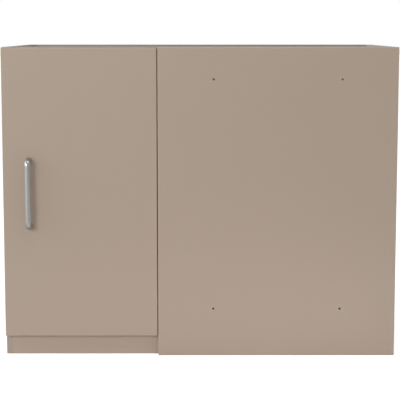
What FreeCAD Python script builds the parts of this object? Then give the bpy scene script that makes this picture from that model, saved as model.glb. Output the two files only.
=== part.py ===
import FreeCAD, Part
import math
import os
import re
import Sketcher
from FreeCAD import Placement, Rotation, Vector

# A blind-corner kitchen base unit: a door on the left, a fixed blank panel on the right, an open top.
# Millimetres, +Z up, the fronts face -Y. The origin is at floor level in the middle of the outline.

# Driving dimensions: each stands on its own and is written once.
SIZES = {
    # Carcass
    "cabinet_width": 1000,
    "cabinet_height": 790,
    "cabinet_depth": 580,
    "board": 16,
    "front_thickness": 18,
    "front_gap": 3,
    "plinth_height": 55,
    "back_thickness": 3,
    "back_inset": 1,
    "front_rail_depth": 100,
    "rear_rail_height": 100,
    "upright_depth": 100,
    "edge_strip": 1,
    # Fronts
    "door_width": 391,
    "door_bottom": 51.7,
    "door_top_drop": 1,
    "seam_gap": 2,
    "front_edging": 2,
    "front_edge_radius": 1.8,
    "panel_hole_radius": 2.6,
    "panel_hole_low": 123,
    "panel_hole_drop": 80,
    "panel_hole_spread": 324,
    # Shelf
    "shelf_height": 400,
    "shelf_depth": 420,
    "shelf_back_gap": 6,
    "shelf_side_gap": 1,
    "stud_inset": 50,
    "stud_radius": 2.45,
    "stud_bite": 9,
    "stud_block": 10,
    "stud_block_height": 6,
    "stud_pitch": 32,
    "stud_hole_depth": 11,
    # Handle
    "handle_projection": 32,
    "handle_bar_radius": 7.5,
    "handle_bend": 12,
    "handle_centres": 168,
    "handle_inset": 66,
    "handle_middle": 421,
    "handle_screw_radius": 2,
    "handle_screw_bite": 12,
    "handle_head_radius": 4.5,
    "handle_head": 2.4,
    # Cup hinges
    "hinge_end_distance": 100,
    "cup_bore_radius": 17.5,
    "cup_bore_depth": 14.6,
    "cup_edge_distance": 3,
    "cup_wall": 0.7,
    "cup_floor": 0.8,
    "flange_thickness": 0.8,
    "flange_lip": 0.6,
    "wing_width": 13,
    "wing_span": 60,
    "cup_screw_setback": 6,
    "cup_screw_spread": 48,
    "pin_inset": 9.2,
    "pin_depth": 11.2,
    "pin_radius": 1.3,
    "knuckle_radius": 2.3,
    "arm_width": 12,
    "arm_thickness": 3.6,
    "arm_nose": 3.4,
    "arm_reach": 14,
    "arm_step": 1,
    "arm_length": 62,
    "arm_corner": 0.8,
    "lug_gap": 0.4,
    "lug_width": 2.6,
    "lug_radius": 2.6,
    "plate_height": 5,
    "plate_start": 18,
    "plate_length": 46,
    "plate_width": 13,
    "plate_wing_height": 2.4,
    "plate_wing_width": 14,
    "plate_wing_span": 46,
    "plate_screw_row": 37,
    "plate_screw_spread": 32,
    "arm_screw_front": 27,
    "arm_screw_rear": 52,
    # Knock-down joints
    "cam_radius": 7.4,
    "cam_height": 12.2,
    "cam_reach": 34,
    "cam_inset": 60,
    "cam_cross": 1.6,
    "cam_cross_depth": 3,
    "bolt_radius": 2.5,
    "bolt_bite": 11,
    "dowel_radius": 4,
    "dowel_bite": 10,
    "dowel_reach": 19,
    "dowel_step": 32,
    "rail_joint_inset": 30,
    # Blocks and screws
    "panel_block_width": 20,
    "panel_block_depth": 26,
    "panel_block_height": 36,
    "panel_block_spread": 260,
    "plinth_block": 20,
    "plinth_block_spread": 400,
    "screw_radius": 1.75,
    "screw_bite": 11,
    "screw_head_radius": 3.3,
    "screw_head": 1.8,
    "screw_offset": 8,
    # Nails in the back
    "nail_radius": 0.8,
    "nail_length": 18,
    "nail_head_radius": 2.2,
    "nail_head": 0.8,
    # Holes for fixing the unit
    "wall_hole_radius": 2.75,
    "wall_hole_spread": 700,
    "worktop_hole_radius": 2.5,
    "worktop_hole_inset": 70,
    # Door buffers
    "buffer_radius": 5,
    "buffer_tip_radius": 3.6,
    "buffer_inset": 40,
    # Clearances
    "fit": 0.05,
    "pin_grip": 0.01,
    "cup_fit": 0.1,
    "slack": 0.5,
    "buffer_clearance": 0.3,
}

# Counts of what repeats
STUD_HOLES = 3
NAILS_PER_EDGE = 5

# Places worked out from the driving dimensions
PLACES = {
    "left": "-cabinet_width / 2",
    "right": "cabinet_width / 2",
    "front_face": "-(cabinet_depth - handle_projection) / 2",
    "fronts_back": "front_face + front_thickness",
    "carcass_front": "fronts_back + front_gap",
    "back_face": "front_face + cabinet_depth",
    "carcass_back": "back_face - back_thickness",
    "board_front": "carcass_front + edge_strip",
    "inner_left": "left + board",
    "inner_right": "right - board",
    "inner_width": "cabinet_width - 2 * board",
    "bottom_top": "plinth_height + board",
    "rail_under": "cabinet_height - board",
    "rear_rail_front": "carcass_back - board",
    "rear_rail_under": "cabinet_height - rear_rail_height",
    "door_right": "left + door_width",
    "door_top": "cabinet_height - door_top_drop",
    "panel_left": "door_right + seam_gap",
    "panel_width": "right - panel_left",
    "upright_left": "door_right + seam_gap / 2 - board / 2",
    "upright_right": "upright_left + board",
    "shelf_back": "carcass_back - board - shelf_back_gap",
    "shelf_front": "shelf_back - shelf_depth",
    "stud_level": "shelf_height - stud_block_height / 2",
    "handle_across": "left + handle_inset",
    "cup_across": "door_right - cup_edge_distance - cup_bore_radius",
    "cup_screw_across": "cup_across - cup_screw_setback",
    "pin_across": "door_right - pin_inset",
    "pin_along": "fronts_back - pin_depth",
    "plate_screw_along": "carcass_front + plate_screw_row",
    "bottom_middle": "plinth_height + board / 2",
    "rail_middle": "rail_under + board / 2",
    "rear_rail_middle": "rear_rail_front + board / 2",
    "panel_block_middle": "cabinet_height / 2",
}

doc = FreeCAD.newDocument("corner_base_unit")
sheet = doc.addObject("Spreadsheet::Sheet", "Sizes")
for row, (name, number) in enumerate(SIZES.items(), start=1):
    sheet.set("A%d" % row, name)
    sheet.set("B%d" % row, str(number))
    sheet.setAlias("B%d" % row, name)
doc.recompute()

pieces = []
blanks = {}
bores = {}
TURNS = {"x": Rotation(Vector(0, 1, 0), 90), "y": Rotation(Vector(1, 0, 0), -90), "z": Rotation()}


def formula(text):
    """Spell a size given in words as an expression on the sheet's cells."""
    def spell(match):
        word = match.group(0)
        if word in PLACES:
            return "(" + formula(PLACES[word]) + ")"
        return "Sizes." + word
    return re.sub(r"[a-z][a-z_]*", spell, text)


def put(thing, low):
    """Place a thing by three sizes in words."""
    for axis, text in zip("xyz", low):
        thing.setExpression("Placement.Base." + axis, formula(text))
    return thing


def box(low, size):
    """A block from its low corner and its three lengths."""
    solid = doc.addObject("Part::Box", "block")
    for name, text in zip(("Length", "Width", "Height"), size):
        solid.setExpression(name, formula(text))
    return put(solid, low)


def rod(axis, start, radius, length):
    """A round bar that runs up the named axis from its start."""
    solid = doc.addObject("Part::Cylinder", "rod")
    solid.Placement = Placement(Vector(), TURNS[axis])
    solid.setExpression("Radius", formula(radius))
    solid.setExpression("Height", formula(length))
    return put(solid, start)


def join(solids):
    """One solid made of solids that touch or overlap."""
    whole = doc.addObject("Part::MultiFuse", "joined")
    whole.Shapes = solids
    return whole


def group(solids):
    """Separate solids kept together."""
    together = doc.addObject("Part::Compound", "group")
    together.Links = solids
    return together


def cut(base, tools):
    """A solid with the tools' shapes taken out of it."""
    rest = doc.addObject("Part::Cut", "cut")
    rest.Base = base
    rest.Tool = tools[0] if len(tools) == 1 else join(tools)
    return rest


def piece(label, thing):
    """Name a finished piece."""
    thing.Label = label
    pieces.append(thing)


def bore(board, axis, start, radius, length):
    """Note a hole to be drilled into the named board."""
    bores.setdefault(board, []).append(rod(axis, start, radius, length))


def common(first, second):
    """What two solids have in common."""
    shared = doc.addObject("Part::Common", "shared")
    shared.Base = first
    shared.Tool = second
    return shared


def runs_along(edge, axis):
    """Whether a straight edge runs along the named axis."""
    way = edge.tangentAt(edge.FirstParameter)
    return round(abs(getattr(way, axis))) == 1


def rounded_block(low, size, radius_name):
    """A block with the edges of its front and its back rounded."""
    block = box(low, size)
    doc.recompute()
    soft = doc.addObject("Part::Fillet", "rounded")
    soft.Base = block
    radius = sheet.get(radius_name)
    soft.Edges = [(number, radius, radius) for number, edge in enumerate(block.Shape.Edges, start=1)
                  if not runs_along(edge, "y")]
    return soft


def body_at(name, low):
    """A body whose own origin stands at the given place."""
    return put(doc.addObject("PartDesign::Body", name), low)


def sketch_on(body, role):
    """An empty sketch on one of the body's own origin planes."""
    sketch = body.newObject("Sketcher::SketchObject", "sketch")
    plane = [feature for feature in body.Origin.OriginFeatures if feature.Role == role][0]
    sketch.AttachmentSupport = [(plane, "")]
    sketch.MapMode = "FlatFace"
    return sketch


def hold(sketch, kind, target, text):
    """Tie one sketch dimension to a size in words."""
    number = sketch.addConstraint(Sketcher.Constraint(kind, *target, 1.0))
    sketch.setExpression("Constraints[%d]" % number, formula(text))


def outline(sketch, points):
    """A closed outline of straight lines through points given in words."""
    count = len(points)
    start = Vector(1, 0, 0)
    ring = [Rotation(Vector(0, 0, 1), 360 * number / count).multVec(start) for number in range(count)]
    first = sketch.GeometryCount
    for number in range(count):
        sketch.addGeometry(Part.LineSegment(ring[number], ring[(number + 1) % count]), False)
    for number, (across, up) in enumerate(points):
        following = first + (number + 1) % count
        sketch.addConstraint(Sketcher.Constraint("Coincident", first + number, 2, following, 1))
        hold(sketch, "DistanceX", (first + number, 1), across)
        hold(sketch, "DistanceY", (first + number, 1), up)


def circle(sketch, centre, radius):
    """A circle with its centre and radius given in words."""
    number = sketch.addGeometry(Part.Circle(Vector(1, 1, 0), Vector(0, 0, 1), 1), False)
    hold(sketch, "DistanceX", (number, 3), centre[0])
    hold(sketch, "DistanceY", (number, 3), centre[1])
    hold(sketch, "Radius", (number,), radius)


def rectangle(sketch, low, high):
    """A rectangle between two corners given in words."""
    outline(sketch, [low, (high[0], low[1]), high, (low[0], high[1])])


def pad(body, sketch, length, side="One side", backwards=False):
    """Thicken a sketch."""
    feature = body.newObject("PartDesign::Pad", "pad")
    feature.Profile = sketch
    feature.SideType = side
    feature.Reversed = backwards
    feature.setExpression("Length", formula(length))
    doc.recompute()
    return feature


def pocket(body, sketch, length, side="One side", backwards=False):
    """Sink a sketch into the body, and see that it takes something away."""
    before = body.Shape.Volume
    feature = body.newObject("PartDesign::Pocket", "pocket")
    feature.Profile = sketch
    feature.SideType = side
    feature.Reversed = backwards
    feature.setExpression("Length", formula(length))
    doc.recompute()
    if not body.Shape.Volume < before:
        raise ValueError("a pocket in %s cuts nothing" % body.Label)
    return feature


# Carcass boards: two sides to the floor, a bottom, a front and a rear rail, a plinth and a post
side_depth = "carcass_back - board_front"
side_size = ("board", side_depth, "cabinet_height")
post_height = "rail_under - bottom_top"
blanks["left_side_panel"] = box(("left", "board_front", "0"), side_size)
blanks["right_side_panel"] = box(("inner_right", "board_front", "0"), side_size)
blanks["bottom_panel"] = box(
    ("inner_left", "board_front", "plinth_height"), ("inner_width", side_depth, "board"))
blanks["front_rail"] = box(
    ("inner_left", "board_front", "rail_under"), ("inner_width", "front_rail_depth - edge_strip", "board"))
blanks["rear_rail"] = box(
    ("inner_left", "rear_rail_front", "rear_rail_under"), ("inner_width", "board", "rear_rail_height"))
blanks["plinth_board"] = box(
    ("inner_left", "carcass_front", "0"), ("inner_width", "board", "plinth_height"))
blanks["centre_upright"] = box(
    ("upright_left", "board_front", "bottom_top"), ("board", "upright_depth - edge_strip", post_height))
blanks["back_panel"] = box(
    ("left + back_inset", "carcass_back", "plinth_height + back_inset"),
    ("cabinet_width - 2 * back_inset", "back_thickness", "cabinet_height - plinth_height - 2 * back_inset"))

# Edge strips glued on the front edges of the carcass boards
piece("carcass_edging", group([
    box(("left", "carcass_front", "0"), ("board", "edge_strip", "cabinet_height")),
    box(("inner_right", "carcass_front", "0"), ("board", "edge_strip", "cabinet_height")),
    box(("inner_left", "carcass_front", "plinth_height"), ("inner_width", "edge_strip", "board")),
    box(("inner_left", "carcass_front", "rail_under"), ("inner_width", "edge_strip", "board")),
    box(("upright_left", "carcass_front", "bottom_top"), ("board", "edge_strip", post_height)),
]))

# Fronts: the door and the blank panel are boards with a thick edging strip along each of their four edges.
# The level strips are cut to fit between the upright ones.
FRONTS = {
    "door_panel": (
        "door_edging", ("left", "front_face", "door_bottom"),
        ("door_width", "front_thickness", "(door_top - door_bottom)")),
    "blank_panel": (
        "blank_panel_edging", ("panel_left", "front_face", "0"),
        ("panel_width", "front_thickness", "cabinet_height")),
}
for label, (edging, low, size) in FRONTS.items():
    across, along, up = low
    width, depth, height = size
    inner_across = across + " + front_edging"
    inner_width = width + " - 2 * front_edging"
    blanks[label] = box(
        (inner_across, along, up + " + front_edging"), (inner_width, depth, height + " - 2 * front_edging"))
    whole = rounded_block(low, size, "front_edge_radius")
    far_across = across + " + " + width + " - front_edging"
    level_across = inner_across + " + fit"
    high_up = up + " + " + height + " - front_edging"
    upright_strip = ("front_edging", depth, height)
    level_strip = (inner_width + " - 2 * fit", depth, "front_edging")
    piece(edging, group([
        common(whole, box(low, upright_strip)),
        common(whole, box((far_across, along, up), upright_strip)),
        common(whole, box((level_across, along, up), level_strip)),
        common(whole, box((level_across, along, high_up), level_strip)),
    ]))

# Four holes through the blank panel, where a corner post or the neighbouring unit is screwed on
for across in ("-", "+"):
    for up in ("panel_hole_low", "cabinet_height - panel_hole_drop"):
        centre = "panel_left + panel_width / 2 %s panel_hole_spread / 2" % across
        bore("blank_panel", "y", (centre, "front_face", up), "panel_hole_radius", "front_thickness")

# Shelf on four studs, with rows of spare holes in the sides
shelf_across = "inner_left + shelf_side_gap"
shelf_length = "inner_width - 2 * shelf_side_gap"
piece("shelf", box(
    (shelf_across, "shelf_front + edge_strip", "shelf_height"),
    (shelf_length, "shelf_depth - edge_strip", "board")))
piece("shelf_edging", box(
    (shelf_across, "shelf_front", "shelf_height"), (shelf_length, "edge_strip", "board")))
studs = []
for along in ("shelf_front + stud_inset", "shelf_back - stud_inset"):
    block_along = along + " - stud_block / 2"
    block_size = ("stud_block", "stud_block", "stud_block_height")
    block_level = "shelf_height - stud_block_height"
    studs.append(join([
        rod("x", ("inner_left - stud_bite", along, "stud_level"), "stud_radius", "stud_bite + slack"),
        box(("inner_left", block_along, block_level), block_size)]))
    studs.append(join([
        rod("x", ("inner_right - slack", along, "stud_level"), "stud_radius", "stud_bite + slack"),
        box(("inner_right - stud_block", block_along, block_level), block_size)]))
    for step in range(-STUD_HOLES, STUD_HOLES + 1):
        level = "stud_level + %d * stud_pitch" % step
        hole = "stud_radius + fit"
        deep = "stud_hole_depth"
        bore("left_side_panel", "x", ("inner_left - " + deep, along, level), hole, deep)
        bore("right_side_panel", "x", ("inner_right", along, level), hole, deep)
piece("shelf_supports", group(studs))

# Knock-down joints: cams in the boards draw bolts out of the sides, and dowels keep the boards in line.
cams = []
bolts = []
dowels = []
bolt_hole = "bolt_radius + slack"
dowel_hole = "dowel_radius + fit"
dowel_length = "dowel_bite + dowel_reach"
CAM_JOINTS = [
    ("bottom_panel", "carcass_front + cam_inset", "bottom_middle", "z"),
    ("bottom_panel", "carcass_back - cam_inset", "bottom_middle", "z"),
    ("front_rail", "carcass_front + rail_joint_inset", "rail_middle", "z"),
    ("rear_rail", "rear_rail_middle", "rear_rail_under + rail_joint_inset", "y"),
]
for board, along, up, cam_axis in CAM_JOINTS:
    for side in ("left", "right"):
        sign = "+" if side == "left" else "-"
        face = "inner_" + side
        side_panel = side + "_side_panel"
        cam_across = "%s %s cam_reach" % (face, sign)
        bolt_across = "%s - bolt_bite" % face if side == "left" else "%s - cam_reach" % face
        bite_across = "%s - bolt_bite - slack" % face if side == "left" else face
        reach_across = face if side == "left" else "%s - cam_reach" % face
        bolts.append(rod("x", (bolt_across, along, up), "bolt_radius", "bolt_bite + cam_reach"))
        bore(side_panel, "x", (bite_across, along, up), "bolt_radius + fit", "bolt_bite + slack")
        bore(board, "x", (reach_across, along, up), bolt_hole, "cam_reach")
        hub_hole = rod("x", (cam_across + " - cam_reach / 2", along, up), bolt_hole, "cam_reach")
        if cam_axis == "z":
            cam_low = (cam_across, along, up + " - board / 2")
            cross_low = (" - cam_cross / 2", " - cam_radius / 2", "")
            cross_turned = (" - cam_radius / 2", " - cam_cross / 2", "")
            cross_size = ("cam_cross", "cam_radius", "cam_cross_depth")
            turned_size = ("cam_radius", "cam_cross", "cam_cross_depth")
            cross_base = cam_low
        else:
            cam_low = (cam_across, "carcass_back - cam_height", up)
            cross_low = (" - cam_cross / 2", "", " - cam_radius / 2")
            cross_turned = (" - cam_radius / 2", "", " - cam_cross / 2")
            cross_size = ("cam_cross", "cam_cross_depth", "cam_radius")
            turned_size = ("cam_radius", "cam_cross_depth", "cam_cross")
            cross_base = (cam_across, "carcass_back - cam_cross_depth", up)
        recess = box([base + shift for base, shift in zip(cross_base, cross_low)], cross_size)
        turned = box([base + shift for base, shift in zip(cross_base, cross_turned)], turned_size)
        cams.append(cut(rod(cam_axis, cam_low, "cam_radius", "cam_height"), [hub_hole, recess, turned]))
        well_low = cam_low if cam_axis == "z" else (cam_across, "carcass_back - cam_height - slack", up)
        bore(board, cam_axis, well_low, "cam_radius + fit", "cam_height + slack")

DOWEL_JOINTS = [
    ("bottom_panel", "carcass_front + cam_inset + dowel_step", "bottom_middle"),
    ("bottom_panel", "carcass_back - cam_inset - dowel_step", "bottom_middle"),
    ("front_rail", "carcass_front + rail_joint_inset + dowel_step", "rail_middle"),
    ("rear_rail", "rear_rail_middle", "rear_rail_under + rail_joint_inset + dowel_step"),
]
for board, along, up in DOWEL_JOINTS:
    for side in ("left", "right"):
        face = "inner_" + side
        side_panel = side + "_side_panel"
        inward, outward = ("dowel_bite", "dowel_reach") if side == "left" else ("dowel_reach", "dowel_bite")
        low_board, high_board = (side_panel, board) if side == "left" else (board, side_panel)
        start = "%s - %s" % (face, inward)
        dowels.append(rod("x", (start, along, up), "dowel_radius", dowel_length))
        bore(low_board, "x", (start + " - slack", along, up), dowel_hole, inward + " + slack")
        bore(high_board, "x", (face, along, up), dowel_hole, outward + " + slack")

# The post stands on two dowels and holds the front rail with two more.
post_across = "upright_left + board / 2"
for along in ("carcass_front + rail_joint_inset", "carcass_front + rail_joint_inset + dowel_step"):
    ends = (("bottom_top", "bottom_panel", "centre_upright", "dowel_bite", "dowel_reach"),
            ("rail_under", "centre_upright", "front_rail", "dowel_reach", "dowel_bite"))
    for level, below, above, down, rise in ends:
        start = "%s - %s" % (level, down)
        dowels.append(rod("z", (post_across, along, start), "dowel_radius", dowel_length))
        bore(below, "z", (post_across, along, start + " - slack"), dowel_hole, down + " + slack")
        bore(above, "z", (post_across, along, level), dowel_hole, rise + " + slack")
piece("cam_locks", group(cams))
piece("cam_bolts", group(bolts))
piece("dowels", group(dowels))

# Plastic blocks carry the blank panel clear of the carcass edge, in line with the door's back.
blocks = []
block_screws = []
screw_hole = "screw_radius + fit"
screw_depth = "screw_bite + slack"
block_ends = (("upright_right", "centre_upright", 1), ("inner_right", "right_side_panel", -1))
for face, board, way in block_ends:
    for level in ("panel_block_middle - panel_block_spread", "panel_block_middle",
                  "panel_block_middle + panel_block_spread"):
        low_across = face if way > 0 else face + " - panel_block_width"
        block = box((low_across, "fronts_back", level + " - panel_block_height / 2"),
                    ("panel_block_width", "panel_block_depth", "panel_block_height"))
        side_along = "carcass_front + panel_block_depth / 2"
        side_level = level + " + screw_offset"
        side_start = face + " - screw_bite" if way > 0 else low_across
        side_length = "screw_bite + panel_block_width"
        side_head = face + " + panel_block_width" if way > 0 else low_across + " - screw_head"
        panel_across = low_across + " + panel_block_width / 2"
        panel_level = level + " - screw_offset"
        panel_start = (panel_across, "fronts_back - screw_bite", panel_level)
        panel_length = "screw_bite + panel_block_depth"
        panel_head = (panel_across, "fronts_back + panel_block_depth", panel_level)
        block_screws.append(join([
            rod("x", (side_start, side_along, side_level), "screw_radius", side_length),
            rod("x", (side_head, side_along, side_level), "screw_head_radius", "screw_head")]))
        block_screws.append(join([
            rod("y", panel_start, "screw_radius", panel_length),
            rod("y", panel_head, "screw_head_radius", "screw_head")]))
        blocks.append(cut(block, [
            rod("x", (side_start, side_along, side_level), screw_hole, side_length),
            rod("y", panel_start, screw_hole, panel_length)]))
        hole_start = face + " - screw_bite - slack" if way > 0 else face
        hole_along = "fronts_back - screw_bite - slack"
        bore(board, "x", (hole_start, side_along, side_level), screw_hole, screw_depth)
        bore("blank_panel", "y", (panel_across, hole_along, panel_level), screw_hole, screw_depth)
piece("panel_blocks", group(blocks))
piece("block_screws", group(block_screws))

# Three blocks behind the plinth, each with one screw up into the bottom and one forward into the plinth
plinth_blocks = []
plinth_screws = []
plinth_back = "carcass_front + board"
block_under = "plinth_height - plinth_block"
for middle in ("-plinth_block_spread", "0", "plinth_block_spread"):
    block = box((middle + " - plinth_block / 2", plinth_back, block_under), ("plinth_block",) * 3)
    up_across = middle + " - plinth_block / 4"
    up_along = plinth_back + " + plinth_block / 2"
    ahead_across = middle + " + plinth_block / 4"
    ahead_level = "plinth_height - plinth_block / 2"
    ahead_start = (ahead_across, plinth_back + " - screw_bite", ahead_level)
    ahead_head = (ahead_across, plinth_back + " + plinth_block", ahead_level)
    ahead_hole = (ahead_across, plinth_back + " - screw_bite - slack", ahead_level)
    length = "plinth_block + screw_bite"
    plinth_screws.append(join([
        rod("z", (up_across, up_along, block_under), "screw_radius", length),
        rod("z", (up_across, up_along, block_under + " - screw_head"), "screw_head_radius", "screw_head")]))
    plinth_screws.append(join([
        rod("y", ahead_start, "screw_radius", length),
        rod("y", ahead_head, "screw_head_radius", "screw_head")]))
    plinth_blocks.append(cut(block, [
        rod("z", (up_across, up_along, block_under), screw_hole, length),
        rod("y", ahead_start, screw_hole, length)]))
    bore("bottom_panel", "z", (up_across, up_along, "plinth_height"), screw_hole, screw_depth)
    bore("plinth_board", "y", ahead_hole, screw_hole, screw_depth)
piece("plinth_blocks", group(plinth_blocks))
piece("plinth_screws", group(plinth_screws))

# Nails hold the back to the sides, the bottom and the rear rail, with their heads flush.
nails = []


def drive_nail(board, across, up):
    """One nail through the back into a board."""
    shank = (across, "back_face - nail_length", up)
    head = (across, "back_face - nail_head", up)
    nails.append(join([
        rod("y", shank, "nail_radius", "nail_length"), rod("y", head, "nail_head_radius", "nail_head")]))
    bore("back_panel", "y", (across, "carcass_back", up), "nail_radius + fit", "back_thickness")
    bore("back_panel", "y", head, "nail_head_radius + fit", "nail_head")
    tip = (across, "back_face - nail_length - slack", up)
    bore(board, "y", tip, "nail_radius + fit", "nail_length + slack")


for number in range(NAILS_PER_EDGE):
    share = "%d / %d" % (number + 1, NAILS_PER_EDGE + 1)
    rise = "plinth_height + (cabinet_height - plinth_height) * %s" % share
    run = "left + cabinet_width * %s" % share
    drive_nail("left_side_panel", "left + board / 2", rise)
    drive_nail("right_side_panel", "right - board / 2", rise)
    drive_nail("bottom_panel", run, "bottom_middle")
    drive_nail("rear_rail", run, "rear_rail_under + rear_rail_height / 4")
piece("back_panel_nails", group(nails))

# Holes for wall screws through the rear rail and the back, and for worktop screws in the front rail
for sign in ("-", ""):
    across = sign + "wall_hole_spread / 2"
    wall_level = "rear_rail_under + rear_rail_height / 2"
    bore("rear_rail", "y", (across, "rear_rail_front", wall_level), "wall_hole_radius", "board")
    bore("back_panel", "y", (across, "carcass_back", wall_level), "wall_hole_radius", "back_thickness")
    worktop_start = (across, "carcass_front + worktop_hole_inset", "rail_under")
    bore("front_rail", "z", worktop_start, "worktop_hole_radius", "board")

# Handle: a round bar bent back to the door at both ends, held by two machine screws.
handle = body_at("handle", ("handle_across", "front_face", "handle_middle"))
bar_out = "(handle_projection - handle_bar_radius)"
bend_out = "(%s - handle_bend)" % bar_out
half = "handle_centres / 2"
inner_half = "(handle_centres / 2 - handle_bend)"
path = sketch_on(handle, "YZ_Plane")
reach = sheet.get("handle_projection") - sheet.get("handle_bar_radius")
bend = sheet.get("handle_bend")
rise = sheet.get("handle_centres") / 2
corners = [Vector(0, rise, 0), Vector(bend - reach, rise, 0), Vector(-reach, rise - bend, 0),
           Vector(-reach, bend - rise, 0), Vector(bend - reach, -rise, 0), Vector(0, -rise, 0)]
bulge = bend * math.sqrt(1 / 2)
upper_mid = Vector(bend - reach - bulge, rise - bend + bulge, 0)
lower_mid = Vector(bend - reach - bulge, bend - rise - bulge, 0)
path.addGeometry(Part.LineSegment(corners[0], corners[1]), False)
path.addGeometry(Part.Arc(corners[1], upper_mid, corners[2]), False)
path.addGeometry(Part.LineSegment(corners[2], corners[3]), False)
path.addGeometry(Part.Arc(corners[3], lower_mid, corners[4]), False)
path.addGeometry(Part.LineSegment(corners[4], corners[5]), False)
for line, point, across, up in (
        (0, 1, "0", half), (0, 2, "-" + bend_out, half),
        (2, 1, "-" + bar_out, inner_half), (2, 2, "-" + bar_out, "-" + inner_half),
        (4, 1, "-" + bend_out, "-" + half), (4, 2, "0", "-" + half)):
    hold(path, "DistanceX", (line, point), across)
    hold(path, "DistanceY", (line, point), up)
doc.recompute()
for arc in (1, 3):
    path.addConstraint(Sketcher.Constraint("Coincident", arc, 1, arc - 1, 2))
    path.addConstraint(Sketcher.Constraint("Coincident", arc, 2, arc + 1, 1))
    number = path.addConstraint(Sketcher.Constraint("Radius", arc, bend))
    path.setExpression("Constraints[%d]" % number, formula("handle_bend"))
doc.recompute()
section = sketch_on(handle, "XZ_Plane")
circle(section, ("0", half), "handle_bar_radius")
pipe = handle.newObject("PartDesign::AdditivePipe", "bar")
pipe.Profile = section
pipe.Spine = path
doc.recompute()
for end in (half, "-" + half):
    thread = sketch_on(handle, "XZ_Plane")
    circle(thread, ("0", end), "handle_screw_radius + fit")
    pocket(handle, thread, "handle_screw_bite + slack", backwards=True)
piece("handle", handle)
handle_screws = []
for sign in ("-", "+"):
    level = "handle_middle %s handle_centres / 2" % sign
    shank = ("handle_across", "front_face - handle_screw_bite", level)
    handle_screws.append(join([
        rod("y", shank, "handle_screw_radius", "handle_screw_bite + front_thickness"),
        rod("y", ("handle_across", "fronts_back", level), "handle_head_radius", "handle_head")]))
    hole = "handle_screw_radius + slack"
    bore("door_panel", "y", ("handle_across", "front_face", level), hole, "front_thickness")
piece("handle_screws", group(handle_screws))

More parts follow.
